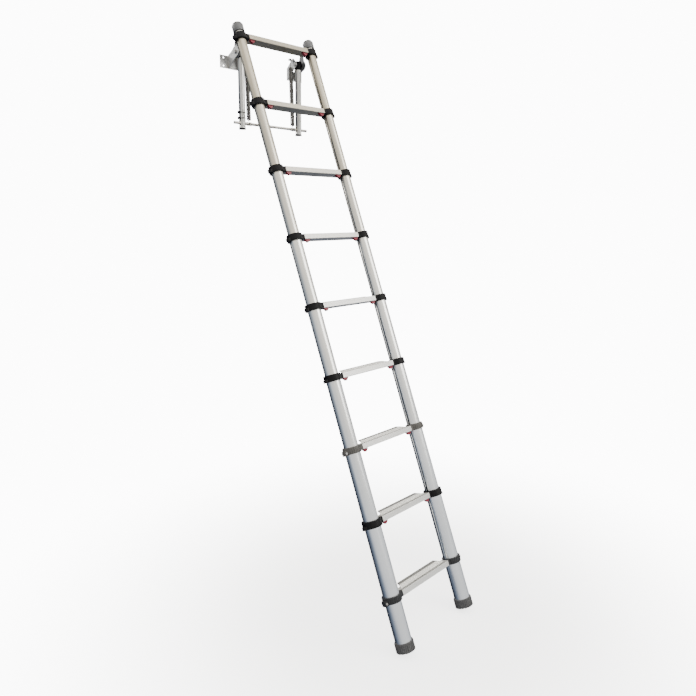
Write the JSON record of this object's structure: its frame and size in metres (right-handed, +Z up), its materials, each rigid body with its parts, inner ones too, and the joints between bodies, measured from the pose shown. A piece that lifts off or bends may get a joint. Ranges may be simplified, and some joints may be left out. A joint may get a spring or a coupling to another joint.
{
  "type": "telescoping ladder",
  "caption": "Telescoping loft ladder of nested aluminium tubes with treads, thumb-release collars, and spring-assisted swing arms hinged to screw-on brackets.",
  "frame": {"origin": "centre of the rectangle of four bracket screws, on the timber face the brackets are screwed to", "axes": "+Z up, +X along the treads, -Y towards the person climbing"},
  "size_m": [0.486, 1.1121, 2.4023],
  "materials": {
    "zinc_steel": "satin zinc plate",
    "bright_steel": "bright zinc",
    "arm_aluminium": "satin anodised",
    "black_plastic": "fine texture",
    "rod_steel": "satin",
    "spring_steel": "oiled",
    "plate_steel": "grey paint, semi-matt",
    "shoe_aluminium": "cast, satin",
    "rail_aluminium": "satin anodised",
    "tread_aluminium": "satin anodised extrusion",
    "dark_grey_plastic": "fine texture",
    "grey_plastic": "fine texture",
    "red_plastic": "moulded, semi-gloss",
    "foot_rubber": "moulded, matt"
  },
  "bodies": {
    "brackets": {"bracket_left": "zinc_steel", "bracket_right": "zinc_steel", "spring_anchor_pins": "bright_steel", "hinge_bolts": "bright_steel"},
    "arms": {"swing_arm_tubes": "arm_aluminium", "arm_top_fittings": "black_plastic", "arm_end_caps": "black_plastic", "arm_clips": "black_plastic", "cross_rod": "rod_steel", "balance_springs": "spring_steel"},
    "section_8": {"section_8_tubes": "rail_aluminium", "top_spigots": "rail_aluminium", "top_caps": "black_plastic", "hinge_plates": "plate_steel", "hinge_shoes": "shoe_aluminium", "shoe_bolts": "bright_steel", "tread_9": "tread_aluminium", "collars_9": "black_plastic"},
    "section_7": {"section_7_tubes": "rail_aluminium", "tread_8": "tread_aluminium", "collars_8": "black_plastic"},
    "section_6": {"section_6_tubes": "rail_aluminium", "tread_7": "tread_aluminium", "collars_7": "black_plastic"},
    "section_5": {"section_5_tubes": "rail_aluminium", "tread_6": "tread_aluminium", "collars_6": "black_plastic"},
    "section_4": {"section_4_tubes": "rail_aluminium", "tread_5": "tread_aluminium", "collars_5": "black_plastic"},
    "section_3": {"section_3_tubes": "rail_aluminium", "tread_4": "tread_aluminium", "collars_4": "black_plastic"},
    "section_2": {"section_2_tubes": "rail_aluminium", "tread_3": "tread_aluminium", "collars_3": "grey_plastic", "collar_screws_3": "bright_steel"},
    "section_1": {"section_1_tubes": "rail_aluminium", "tread_2": "tread_aluminium", "collars_2": "black_plastic", "tread_1": "tread_aluminium", "collars_1": "dark_grey_plastic", "feet": "foot_rubber", "collar_screws_1": "bright_steel"},
    "button_9_left": {"button_9_left": "red_plastic"},
    "button_9_right": {"button_9_right": "red_plastic"},
    "button_8_left": {"button_8_left": "red_plastic"},
    "button_8_right": {"button_8_right": "red_plastic"},
    "button_7_left": {"button_7_left": "red_plastic"},
    "button_7_right": {"button_7_right": "red_plastic"},
    "button_6_left": {"button_6_left": "red_plastic"},
    "button_6_right": {"button_6_right": "red_plastic"},
    "button_5_left": {"button_5_left": "red_plastic"},
    "button_5_right": {"button_5_right": "red_plastic"},
    "button_4_left": {"button_4_left": "red_plastic"},
    "button_4_right": {"button_4_right": "red_plastic"},
    "button_3_left": {"button_3_left": "red_plastic"},
    "button_3_right": {"button_3_right": "red_plastic"},
    "button_2_left": {"button_2_left": "red_plastic"},
    "button_2_right": {"button_2_right": "red_plastic"}
  },
  "joints": [
    {"name": "arms_swing", "type": "hinge", "parent": "brackets", "child": "arms", "pos_m": [0, -0.057, 0.036], "axis": [-1, 0, 0], "range_deg": [0, 90]},
    {"name": "ladder_lean", "type": "hinge", "parent": "arms", "child": "section_8", "pos_m": [0, -0.057, 0.036], "axis": [1, 0, 0], "range_deg": [-8, 22.69], "stiffness_Nm_per_rad": 100, "springref_deg": -21.51},
    {"name": "section_7_slide", "type": "slide", "parent": "section_8", "child": "section_7", "axis": [0, 0.3857, 0.9226], "range_m": [0, 0.245]},
    {"name": "section_6_slide", "type": "slide", "parent": "section_7", "child": "section_6", "axis": [0, 0.3857, 0.9226], "range_m": [0, 0.245]},
    {"name": "section_5_slide", "type": "slide", "parent": "section_6", "child": "section_5", "axis": [0, 0.3857, 0.9226], "range_m": [0, 0.245]},
    {"name": "section_4_slide", "type": "slide", "parent": "section_5", "child": "section_4", "axis": [0, 0.3857, 0.9226], "range_m": [0, 0.245]},
    {"name": "section_3_slide", "type": "slide", "parent": "section_4", "child": "section_3", "axis": [0, 0.3857, 0.9226], "range_m": [0, 0.245]},
    {"name": "section_2_slide", "type": "slide", "parent": "section_3", "child": "section_2", "axis": [0, 0.3857, 0.9226], "range_m": [0, 0.245]},
    {"name": "section_1_slide", "type": "slide", "parent": "section_2", "child": "section_1", "axis": [0, 0.3857, 0.9226], "range_m": [0, 0.245]},
    {"name": "unlock_button_9_left", "type": "slide", "parent": "section_8", "child": "button_9_left", "axis": [1, 0, 0], "range_m": [0, 0.006], "stiffness_N_per_m": 60, "springref_m": -0.01},
    {"name": "unlock_button_9_right", "type": "slide", "parent": "section_8", "child": "button_9_right", "axis": [-1, 0, 0], "range_m": [0, 0.006], "stiffness_N_per_m": 60, "springref_m": -0.01},
    {"name": "unlock_button_8_left", "type": "slide", "parent": "section_7", "child": "button_8_left", "axis": [1, 0, 0], "range_m": [0, 0.006], "stiffness_N_per_m": 60, "springref_m": -0.01},
    {"name": "unlock_button_8_right", "type": "slide", "parent": "section_7", "child": "button_8_right", "axis": [-1, 0, 0], "range_m": [0, 0.006], "stiffness_N_per_m": 60, "springref_m": -0.01},
    {"name": "unlock_button_7_left", "type": "slide", "parent": "section_6", "child": "button_7_left", "axis": [1, 0, 0], "range_m": [0, 0.006], "stiffness_N_per_m": 60, "springref_m": -0.01},
    {"name": "unlock_button_7_right", "type": "slide", "parent": "section_6", "child": "button_7_right", "axis": [-1, 0, 0], "range_m": [0, 0.006], "stiffness_N_per_m": 60, "springref_m": -0.01},
    {"name": "unlock_button_6_left", "type": "slide", "parent": "section_5", "child": "button_6_left", "axis": [1, 0, 0], "range_m": [0, 0.006], "stiffness_N_per_m": 60, "springref_m": -0.01},
    {"name": "unlock_button_6_right", "type": "slide", "parent": "section_5", "child": "button_6_right", "axis": [-1, 0, 0], "range_m": [0, 0.006], "stiffness_N_per_m": 60, "springref_m": -0.01},
    {"name": "unlock_button_5_left", "type": "slide", "parent": "section_4", "child": "button_5_left", "axis": [1, 0, 0], "range_m": [0, 0.006], "stiffness_N_per_m": 60, "springref_m": -0.01},
    {"name": "unlock_button_5_right", "type": "slide", "parent": "section_4", "child": "button_5_right", "axis": [-1, 0, 0], "range_m": [0, 0.006], "stiffness_N_per_m": 60, "springref_m": -0.01},
    {"name": "unlock_button_4_left", "type": "slide", "parent": "section_3", "child": "button_4_left", "axis": [1, 0, 0], "range_m": [0, 0.006], "stiffness_N_per_m": 60, "springref_m": -0.01},
    {"name": "unlock_button_4_right", "type": "slide", "parent": "section_3", "child": "button_4_right", "axis": [-1, 0, 0], "range_m": [0, 0.006], "stiffness_N_per_m": 60, "springref_m": -0.01},
    {"name": "unlock_button_3_left", "type": "slide", "parent": "section_2", "child": "button_3_left", "axis": [1, 0, 0], "range_m": [0, 0.006], "stiffness_N_per_m": 60, "springref_m": -0.01},
    {"name": "unlock_button_3_right", "type": "slide", "parent": "section_2", "child": "button_3_right", "axis": [-1, 0, 0], "range_m": [0, 0.006], "stiffness_N_per_m": 60, "springref_m": -0.01},
    {"name": "unlock_button_2_left", "type": "slide", "parent": "section_1", "child": "button_2_left", "axis": [1, 0, 0], "range_m": [0, 0.006], "stiffness_N_per_m": 60, "springref_m": -0.01},
    {"name": "unlock_button_2_right", "type": "slide", "parent": "section_1", "child": "button_2_right", "axis": [-1, 0, 0], "range_m": [0, 0.006], "stiffness_N_per_m": 60, "springref_m": -0.01}
  ]
}
